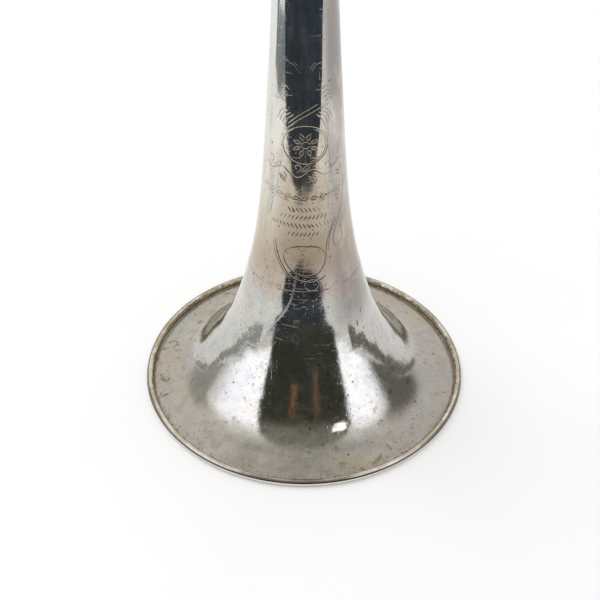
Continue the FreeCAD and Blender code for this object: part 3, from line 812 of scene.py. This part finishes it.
def silver_tones(n):
    """Brown in front below the engraving, and lilac on the right, worn thin along the middle of the stem."""
    unevenness = n.scaled(n.noise(40, 4, 0.6), -0.035, 0.035)
    level = n.math("MULTIPLY_ADD", n.z, 1 / (RAMP_TOP * MM), unevenness, True)
    forward = n.math("DIVIDE", n.times(n.y, -1.0), n.radius)
    forward = n.plus(forward, n.scaled(n.noise(45, 3, 0.6), -0.14, 0.14))
    side, front = by_height(n, level, SIDE_TONES), by_height(n, level, FRONT_TONES)
    base = n.mix(n.between(forward, 0.72, 1.0), side, front)

    rightward = n.between(n.math("DIVIDE", n.x, n.radius), 0.36, 0.68)
    patches = n.between(n.noise(60, 5, 0.65, stretch=(1, 1, 0.4)), 0.26, 0.56)
    wiped = n.times(n.between(n.z, 0.125, 0.145), n.between(n.z, 0.210, 0.185))
    lilac = n.times(rightward, n.between(n.z, 0.055, 0.075), patches, n.scaled(wiped, 0.88, 0.60))
    return n.mix(lilac, base, (0.265, 0.235, 0.225))


def stem_tarnish(n, base):
    """Lengthwise streaks, brushing and specks on the stem, and a brown mottle round the seam."""
    base = n.layer(base, n.times(n.between(n.streak, 0.46, 0.70), n.high), 0.38, (0.44, 0.35, 0.27))
    brushed = n.between(n.noise(420, 3, 0.6, stretch=(1.0, 1.0, 0.05)), 0.35, 0.68)
    base = n.layer(base, n.times(brushed, n.high), 0.30, (0.33, 0.30, 0.27))
    speckle = n.between(n.noise(800, 2, 0.6), 0.55, 0.68)
    base = n.layer(base, n.times(speckle, n.high), 0.32, (0.36, 0.30, 0.24))
    near_seam = n.times(n.between(n.z, 0.116, 0.098), n.between(n.z, 0.070, 0.088))
    mottle = n.times(n.between(n.noise(230, 4, 0.6), 0.50, 0.62), near_seam)
    return n.layer(base, mottle, 0.45, (0.45, 0.29, 0.24))


def flare_tarnish(n, base):
    """Fine and coarse clouds on the flare, browner towards the rim."""
    base = n.layer(base, n.times(n.between(n.fine, 0.42, 0.68), n.low), 0.42, (0.38, 0.36, 0.30))
    base = n.layer(base, n.times(n.between(n.cloud, 0.5, 0.72), n.low), 0.35, (0.72, 0.71, 0.69))
    grain = n.between(n.noise(620, 3, 0.65), 0.50, 0.66)
    base = n.layer(base, n.times(grain, n.low), 0.30, (0.34, 0.31, 0.25))
    grunge = n.times(n.between(n.noise(95, 6, 0.7, warp=0.4), 0.46, 0.64), n.between(n.radius, 0.045, 0.075))
    base = n.layer(base, n.times(grunge, n.low), 0.42, (0.40, 0.355, 0.275))
    tan = n.times(n.between(n.noise(30, 4, 0.6), 0.4, 0.66), n.between(n.radius, 0.060, 0.090))
    return n.layer(base, tan, 0.6, (0.56, 0.48, 0.36))


def rim_dirt(n, base):
    """Dull old polish beside the wire, and crumbs on it, over a wider ring in front. Also their shares."""
    wire_side = WIRE_CENTRE - 0.3 * MM
    filled = n.times(n.between(n.radius, WIRE_CENTRE - 4.3 * MM, WIRE_CENTRE - 2.7 * MM),
                     n.scaled(n.between(n.fine, 0.30, 0.62), 0.35, 0.9),
                     n.between(n.radius, wire_side, wire_side - 0.5 * MM))
    base = n.mix(filled, base, (0.50, 0.43, 0.31))
    behind_ring = n.between(n.radius, WIRE_CENTRE - 5.3 * MM, WIRE_CENTRE - 1.1 * MM)
    front_ring = n.between(n.radius, WIRE_CENTRE - 7.8 * MM, WIRE_CENTRE - 2.3 * MM)
    crevice = n.times(n.mix_values(n.in_front, behind_ring, front_ring),
                      n.between(n.radius, wire_side, wire_side - 0.6 * MM))
    crumbs = n.plus(n.noise(520, 3, 0.6), n.scaled(crevice, -0.10, 0.025))
    grime = n.times(n.between(crumbs, 0.47, 0.60), crevice, n.scaled(n.in_front, 0.75, 0.80))
    return n.layer(base, grime, 0.9, n.crumb_colour()), grime, filled


def flare_stains(n, base):
    """Dark dabs, a violet tint on the right and bluish clouds."""
    dabs = n.times(n.between(n.noise(150, 4, 0.6), 0.575, 0.655), n.between(n.noise(26, 3), 0.40, 0.56),
                   n.between(n.radius, 0.040, 0.065))
    base = n.layer(base, n.times(dabs, n.low), 0.70, (0.21, 0.175, 0.115))
    violet = n.times(n.between(n.x, 0.015, 0.075), n.between(n.noise(21, 4, 0.6), 0.36, 0.62))
    base = n.layer(base, n.times(violet, n.low), 0.42, (0.41, 0.37, 0.375))
    bluish = n.times(n.between(n.noise(34, 5, 0.6, warp=0.4), 0.48, 0.64), n.low)
    return n.layer(base, bluish, 0.34, (0.44, 0.46, 0.49))


def pits_and_rust(n, base):
    """Scattered pits and rust spots, and one larger stain at the foot of the neck. Also the pits' share."""
    pits = n.times(n.spots(330, 0.2), n.between(n.noise(38, 3), 0.45, 0.57))
    base = n.layer(base, pits, 0.75, (0.18, 0.14, 0.10))
    rust = n.times(n.spots(120, 0.13), n.between(n.noise(17, 2), 0.42, 0.53))
    base = n.layer(base, rust, 0.9, (0.22, 0.13, 0.05))
    stain = n.between(n.reach(*LARGE_STAIN), 0.9 * MM, 0.45 * MM)
    return n.layer(base, stain, 0.9, (0.27, 0.13, 0.025)), pits


def curl_colours(n, base):
    """The sheet's curled edge outside the wire: polished, with a warmer painted highlight low down, and a
    thin painted dark reflection in front.
    """
    base = n.mix(n.outer_curl, base, n.mix(n.fine, (0.84, 0.83, 0.79), (0.70, 0.68, 0.63)))
    # Painted light: a warm, bright band low on the curl, where the curl would otherwise lie in shade.
    painted_light_low = n.times(n.outer_curl, n.between(n.z, 0.0029, 0.0025))
    base = n.layer(base, painted_light_low, 0.8, (0.93, 0.84, 0.74))
    # Painted reflection: a thin dark blue line across the curl's front, standing in for something dark
    # mirrored there.
    line = n.times(n.between(n.z, 0.0026, 0.0029), n.between(n.z, 0.0038, 0.0035))
    line = n.times(line, n.outer_curl, n.between(n.y, 0.03, -0.03))
    return n.layer(base, line, 0.95, (0.020, 0.026, 0.050))


def silver_roughness(n, scratches, cut, dirt):
    """Polished on the stem, duller in clouds on the flare and dull near the rim."""
    polished = n.between(n.z, 0.045, 0.085)
    rough = n.mix_values(polished, n.scaled(n.between(n.cloud, 0.3, 0.72), 0.055, 0.125),
                         n.scaled(n.between(n.streak, 0.3, 0.7), 0.030, 0.085))
    rough = n.plus(rough, n.scaled(scratches, 0.0, 0.09))
    rough = n.plus(rough, n.scaled(cut, 0.0, 0.12))
    dull_ring = n.times(n.between(n.radius, 0.066, 0.088), n.between(n.radius, 0.0965, 0.0940))
    rough = n.plus(rough, n.scaled(dull_ring, 0.0, 0.26))
    rough = n.most(rough, n.scaled(dirt, 0.0, 0.6))
    return n.mix_values(n.outer_curl, rough, n.scaled(n.fine, 0.05, 0.11))


def silver_bumps(n, scratches, pits, grime):
    """Dents on the flare, brushing on the stem, scratches, pits and crumbs."""
    dents = n.times(n.noise(75, 3, 0.5), n.between(n.z, 0.085, 0.045))
    bump = n.bump(dents, 0.35, 0.4 * MM)
    ripple = n.times(n.noise(420, 3, 0.6, stretch=(0.25, 0.25, 1.6)), n.high)
    bump = n.bump(ripple, 0.10, 0.05 * MM, bump)
    bump = n.bump(scratches, 0.26, 0.045 * MM, bump)
    return n.bump(n.plus(pits, grime), 0.3, -0.08 * MM, bump)


def silver_haze(n):
    """A film that lets a little plain colour through: streaks and clouds on the stem, clouds on the flare."""
    haze = n.times(n.between(n.noise(300, 4, 0.65, stretch=(1.0, 1.0, 0.1)), 0.42, 0.74), n.high)
    haze = n.plus(haze, n.times(n.between(n.noise(90, 6, 0.65), 0.45, 0.75), n.high))
    return n.plus(haze, n.times(n.between(n.noise(62, 7, 0.7, warp=0.5), 0.44, 0.66), n.low))


def tarnished_silver():
    """Silver with layers of tarnish, stains, scratches and engraving, dirt at the rim, and on the curled edge
    painted light and a painted dark reflection.
    """
    n = SilverNodes()
    base = silver_tones(n)
    base = stem_tarnish(n, base)
    base = flare_tarnish(n, base)
    base, grime, filled = rim_dirt(n, base)
    base = flare_stains(n, base)
    base, pits = pits_and_rust(n, base)
    cut = n.attribute("engraved")
    base = n.layer(base, n.between(cut, 0.12, 0.8), 0.78, (0.17, 0.12, 0.08))
    base = curl_colours(n, base)
    scratches = n.hairlines()
    dirt = n.most(grime, filled)
    rough = silver_roughness(n, scratches, cut, dirt)
    bump = silver_bumps(n, scratches, pits, grime)
    metallic = n.math("SUBTRACT", n.scaled(silver_haze(n), 1.0, 0.975), n.scaled(dirt, 0.0, 0.85))
    return n.metal(base, rough, bump, metallic=metallic)


def rim_brass():
    """The wire: worn bright, brown in places at the back, with dirt along its two seams and dull inside."""
    n = Nodes("worn_rim_brass")
    patch = n.noise(60, 5, 0.6)
    base = n.mix(n.between(patch, 0.4, 0.62), (0.60, 0.53, 0.42), (0.88, 0.84, 0.76))
    brown = n.times(n.between(n.noise(42, 4, 0.6), 0.40, 0.60), n.between(n.axis("Y"), -0.06, 0.03))
    base = n.layer(base, brown, 0.75, (0.34, 0.265, 0.16))
    radius = n.reach()
    inner_seam = n.between(radius, WIRE_CENTRE - 0.3 * MM, WIRE_CENTRE - 1.1 * MM)
    outer_seam = n.between(radius, WIRE_CENTRE + 1.0 * MM, WIRE_CENTRE + 1.4 * MM)
    dirt = n.plus(n.noise(430, 3, 0.6), n.scaled(inner_seam, -0.12, 0.02))
    dirt = n.times(n.between(dirt, 0.44, 0.56), n.most(inner_seam, outer_seam),
                   n.scaled(n.between(n.noise(28, 3), 0.34, 0.52), 0.35, 1.0))
    base = n.mix(dirt, base, n.crumb_colour())
    film = n.times(inner_seam, n.between(n.axis("Z"), 0.0036, 0.0026),
                   n.scaled(n.between(n.noise(230, 4, 0.6), 0.34, 0.60), 0.35, 0.9))
    base = n.mix(film, base, (0.46, 0.39, 0.26))
    dirt = n.most(dirt, film)
    rough = n.most(n.scaled(patch, 0.05, 0.22), n.scaled(dirt, 0.0, 0.75))
    bump = n.bump(n.noise(420, 4, 0.6), 0.15, 0.1 * MM)
    return n.metal(base, rough, bump, metallic=n.scaled(dirt, 1.0, 0.25))


def lacquered_brass():
    """Tubes and counterweight: cloudy lacquer, worn through and specked in places."""
    n = Nodes("old_lacquered_brass")
    cloud = n.noise(18, 6, 0.6, warp=0.5)
    base = n.mix(n.between(cloud, 0.35, 0.68), (0.56, 0.37, 0.12), (0.78, 0.56, 0.24))
    worn = n.between(n.noise(48, 7, 0.68, warp=0.8), 0.57, 0.63)
    base = n.layer(base, worn, 0.7, (0.42, 0.30, 0.16))
    specks = n.times(n.spots(260, 0.16), n.between(n.noise(35, 3), 0.48, 0.6))
    base = n.layer(base, specks, 0.85, (0.16, 0.085, 0.04))
    scratches = n.hairlines()
    rough = n.plus(n.scaled(worn, 0.14, 0.36), n.scaled(scratches, 0.0, 0.1))
    bump = n.bump(worn, 0.2, -0.03 * MM)
    bump = n.bump(scratches, 0.12, 0.05 * MM, bump)
    return n.metal(base, rough, bump, coat=0.35)


def nickel_silver():
    """Ferrules, rings, outer tubes, feet, receiver and lock nut: cloudy, stained and scratched."""
    n = Nodes("worn_nickel_silver")
    cloud = n.noise(34, 5, 0.6, warp=0.4)
    base = n.mix(n.between(cloud, 0.35, 0.66), (0.52, 0.49, 0.41), (0.70, 0.68, 0.61))
    stain = n.between(n.noise(90, 5, 0.65), 0.56, 0.68)
    base = n.layer(base, stain, 0.5, (0.36, 0.31, 0.22))
    specks = n.times(n.spots(380, 0.16), n.between(n.noise(60, 3), 0.5, 0.6))
    base = n.layer(base, specks, 0.7, (0.17, 0.14, 0.10))
    scratches = n.hairlines()
    rough = n.plus(n.scaled(cloud, 0.14, 0.30), n.scaled(scratches, 0.0, 0.12))
    bump = n.bump(scratches, 0.16, 0.06 * MM)
    return n.metal(base, rough, bump)


def drawn_nickel_silver():
    """The sliding legs: fine lengthwise scoring and a film of old grease."""
    n = Nodes("scored_nickel_silver")
    score = n.noise(900, 2, 0.5, stretch=(1, 1, 0.01))
    base = n.mix(n.between(score, 0.35, 0.65), (0.60, 0.58, 0.52), (0.74, 0.72, 0.66))
    grease = n.between(n.noise(40, 5, 0.6), 0.45, 0.65)
    base = n.layer(base, grease, 0.35, (0.40, 0.35, 0.22))
    rough = n.plus(n.scaled(score, 0.10, 0.24), n.scaled(grease, 0.0, 0.14))
    return n.metal(base, rough, n.bump(score, 0.12, 0.03 * MM))


# ---- Floor, studio, camera

FLOOR_HEIGHT = -0.0001  # just under the rim
TABLE_REACH = 3.0
# The table's front edge and the sheet are rows of (x, y) points.
TABLE_EDGE = [(-TABLE_REACH, -0.20), (-1.1, -0.20), (-0.65, -0.25), (-0.45, -0.255), (-0.30, -0.285),
              (-0.11, -0.338), (0.0, -0.359), (0.12, -0.347), (0.25, -0.335), (0.40, -0.337),
              (0.60, -0.37), (TABLE_REACH, -0.40)]
GREY_SHEET = [(-0.47, -0.25), (-0.485, -0.05), (-0.53, 0.12), (-0.74, 0.16), (-0.70, 0.02), (-0.66, -0.24)]
# Low ledges left and right of the bell, as sheets that glow and that only gloss sees: an upright face whose
# dim glow is painted shade, and a top whose bright glow is painted light, as bright as the lit floor, which
# hangs over towards the bell, so that only the flat flare sees the face. Each point is (x, y, height).
LEDGES = [
    ("ledge_left", (0.42, 0.43, 0.42),
     [(-0.350, -0.17, 0.021), (-0.282, 0.02, 0.021), (-0.285, 0.06, 0.022), (-0.335, 0.13, 0.030),
      (-0.33, 0.22, 0.030)]),
    ("ledge_right", (0.20, 0.19, 0.16),
     [(0.365, -0.17, 0.024), (0.312, -0.04, 0.024), (0.300, 0.02, 0.025), (0.290, 0.075, 0.032),
      (0.30, 0.22, 0.034)]),
]
# Painted light: the ledge tops glow as bright as the lit floor.
LEDGE_TOP_LIGHT = (0.93, 0.93, 0.93)
OVERHANG = 1.9  # how far a ledge's top reaches inwards, as a share of its height
OUTER_TOP = 0.3  # and outwards


def stage_piece(name, mesh, material=None):
    data = finished(name, mesh)
    if material:
        data.materials.append(material)
    part = linked(name, data)
    return part


def floor_part(name, corners, material, height=FLOOR_HEIGHT):
    mesh = bmesh.new()
    mesh.faces.new([mesh.verts.new((x, y, height)) for x, y in corners])
    bmesh.ops.triangulate(mesh, faces=mesh.faces[:])
    return stage_piece(name, mesh, material)


def ribbon(name, lower, upper):
    """A strip of faces between two rows of points."""
    mesh = bmesh.new()
    pairs = [(mesh.verts.new(low), mesh.verts.new(high)) for low, high in zip(lower, upper)]
    for (low, high), (next_low, next_high) in zip(pairs, pairs[1:]):
        mesh.faces.new((low, next_low, next_high, high))
    return stage_piece(name, mesh)


def moved_outwards(path, share):
    """The path with each point moved away from the bell's axis by this share of its height."""
    moved = []
    for x, y, height in path:
        scale = 1 + share * height / math.hypot(x, y)
        moved.append((x * scale, y * scale, height))
    return moved


def make_ledge(name, light, path):
    """An upright face that follows the path, glowing dim as painted shade, and a top that hangs over it,
    glowing as painted light.
    """
    glow_evenly(ribbon(name, [(x, y, FLOOR_HEIGHT) for x, y, _ in path], path), light)
    top = ribbon(name + "_top", moved_outwards(path, -OVERHANG), moved_outwards(path, OUTER_TOP))
    glow_evenly(top, LEDGE_TOP_LIGHT)


def make_floor():
    """A pale floor. Its gloss ends at the table's front edge, beyond which the bell mirrors the dark room."""
    n = Nodes("pale_floor")
    colour = n.mix(n.noise(9, 3), (0.91, 0.91, 0.91), (0.94, 0.94, 0.94))
    material = n.metal(colour, 0.9, metallic=0.0)
    floor_part("table", [*TABLE_EDGE, (TABLE_REACH, TABLE_REACH), (-TABLE_REACH, TABLE_REACH)], material)
    in_front = [(-TABLE_REACH, -TABLE_REACH), (TABLE_REACH, -TABLE_REACH), *TABLE_EDGE[::-1]]
    floor_part("floor_in_front", in_front, material).visible_glossy = False
    glow_evenly(floor_part("grey_sheet", GREY_SHEET, None, FLOOR_HEIGHT + 1 * MM), (0.27, 0.32, 0.33))
    for name, light, path in LEDGES:
        make_ledge(name, light, path)


def seen_by_gloss_only(item):
    for ray in ("camera", "diffuse", "shadow", "transmission", "volume_scatter"):
        setattr(item, "visible_" + ray, False)


def glow_evenly(sheet, light):
    """The same glow at every corner of a sheet that only gloss sees."""
    give_glow(sheet.data, [light] * len(sheet.data.vertices), "gloss_only_glow_sheet")
    seen_by_gloss_only(sheet)


def give_glow(data, colours, material_name):
    """A glow of these colours, one for each vertex."""
    attribute = data.attributes.new("glow", "FLOAT_COLOR", "POINT")
    attribute.data.foreach_set("color", np.column_stack([colours, np.ones(len(colours))]).ravel())
    data.materials.append(glow_material(material_name))


def glow_material(name):
    material = bpy.data.materials.new(name)
    material.use_nodes = True
    tree = material.node_tree
    tree.nodes.clear()
    colour = tree.nodes.new("ShaderNodeAttribute")
    colour.attribute_name = "glow"
    emission = tree.nodes.new("ShaderNodeEmission")
    tree.links.new(colour.outputs["Color"], emission.inputs["Color"])
    output = tree.nodes.new("ShaderNodeOutputMaterial")
    tree.links.new(emission.outputs[0], output.inputs["Surface"])
    material.cycles.emission_sampling = "NONE"
    return material


def step(value, low, high):
    t = np.clip((value - low) / (high - low), 0, 1)
    return t * t * (3 - 2 * t)


def window(azimuth, elevation, rise, fall, bottom, top):
    """1 inside a part of the studio, 0 outside. Each of its four edges is a (from, to) pair of degrees."""
    across = step(azimuth, *rise) * (1 - step(azimuth, *fall))
    return across * step(elevation, *bottom) * (1 - step(elevation, *top))


def blended(colour, share, other):
    share = share[..., None]
    return colour * (1 - share) + np.array(other) * share


# Parts of the studio by direction in degrees: left edge, right edge, lower edge, upper edge, colour.
STUDIO_PARTS = [
    ((-130, -120), (-104, -98), (-12, -6), (30, 46), (0.46, 0.46, 0.44)),
    ((78, 86), (116, 128), (-12, -6), (26, 56), (0.19, 0.19, 0.165)),
    ((-50, -42), (42, 50), (-60, -59), (60, 90), (0.26, 0.25, 0.22)),
    ((-50, -42), (42, 50), (-60, -59), (40, 56), (0.22, 0.21, 0.175)),
    ((-50, -42), (42, 50), (-60, -59), (24, 42), (0.047, 0.050, 0.038)),
    ((-130, -110), (110, 130), (-60, -59), (-11, -7), (0.040, 0.053, 0.072)),
    ((-104, -80), (-48, -45), (-5, -1), (23, 60), (1.76, 1.78, 1.92)),
    ((45, 48), (72, 92), (-7, -3), (21, 56), (1.76, 1.78, 1.92)),
    ((30, 32), (40, 42), (31, 33), (43, 45), (2.4, 2.35, 2.3)),
    ((-17, -13), (-10, -6), (12, 16), (22, 30), (0.22, 0.115, 0.07)),
    ((9, 12), (15, 18), (5, 9), (22, 29), (0.19, 0.11, 0.075)),
]


def surroundings(azimuth, elevation):
    """Colour of the studio by direction: azimuth 0 is the front, positive towards +X."""
    colour = np.zeros((*azimuth.shape, 3)) + np.array([0.84, 0.82, 0.79])
    colour = blended(colour, step(elevation, 56, 74), (0.47, 0.455, 0.43))
    for *edges, light in STUDIO_PARTS:
        colour = blended(colour, window(azimuth, elevation, *edges), light)
    return colour


def make_studio():
    """A dome round the object that only its gloss sees: softboxes left and right, a dark room in front."""
    radius, middle, spacing = 2.4, 0.1, 1.5  # metres, height in metres, degrees
    azimuths = np.arange(-180, 180, spacing)
    elevations = np.arange(-60, 90 + spacing / 2, spacing)
    mesh = bmesh.new()
    rows = []
    for elevation in elevations:
        up = math.radians(elevation)
        level, height = radius * math.cos(up), radius * math.sin(up) + middle
        rows.append([mesh.verts.new(on_ring(level, math.radians(a), height)) for a in azimuths])
    join_rings(mesh, rows)
    data = finished("studio_dome", mesh)
    grid = np.meshgrid(azimuths, elevations)
    give_glow(data, surroundings(*grid).reshape(-1, 3), "studio_glow")
    seen_by_gloss_only(linked("studio_dome", data))


def make_light():
    world = bpy.data.worlds.new("pale_room")
    bpy.context.scene.world = world
    world.use_nodes = True
    background = world.node_tree.nodes["Background"]
    background.inputs["Color"].default_value = (1, 1, 1, 1)
    background.inputs["Strength"].default_value = 1.0
    light = bpy.data.lights.new("soft_key", "AREA")
    light.shape = "DISK"
    light.size = 1.2
    light.energy = 6
    lamp = linked("soft_key", light)
    lamp.location = (-0.9, 0.5, 1.6)
    lamp.rotation_euler = (-lamp.location).to_track_quat("-Z", "Y").to_euler()
    lamp.visible_glossy = False
    lamp.visible_camera = False


def make_camera():
    """In front and above, looking down at the flare; the top of the bell runs out of the picture."""
    data = bpy.data.cameras.new("camera")
    data.lens = 66
    data.sensor_width = 36
    data.clip_start = 0.01
    camera = linked("camera", data)
    camera.location = (-0.0026, -0.5229, 0.4917)
    camera.rotation_euler = (math.radians(90 - 39.73), 0, 0)
    bpy.context.scene.camera = camera
    bpy.context.scene.view_settings.view_transform = "Standard"


# ---- Put together


def give(piece, material):
    if not piece.material_slots:
        piece.data.materials.append(None)
    for material_slot in piece.material_slots:
        material_slot.material = material


make_camera()
make_floor()
make_studio()
make_light()
flare, stem = make_bell()
silver = tarnished_silver()
give(flare, silver)
give(stem, silver)
give(make_rim_wire(), rim_brass())
brass, nickel, drawn = lacquered_brass(), nickel_silver(), drawn_nickel_silver()
slots = {part["node"]: part["material_slot"] for part in frame["record"]["subparts"]}
for name, node in frame["nodes"].items():
    if node.hide_render:
        continue
    chosen = brass if slots[name] == "lacquered_brass" else nickel
    if name.endswith("inner_leg"):
        chosen = drawn
    give(node, chosen)
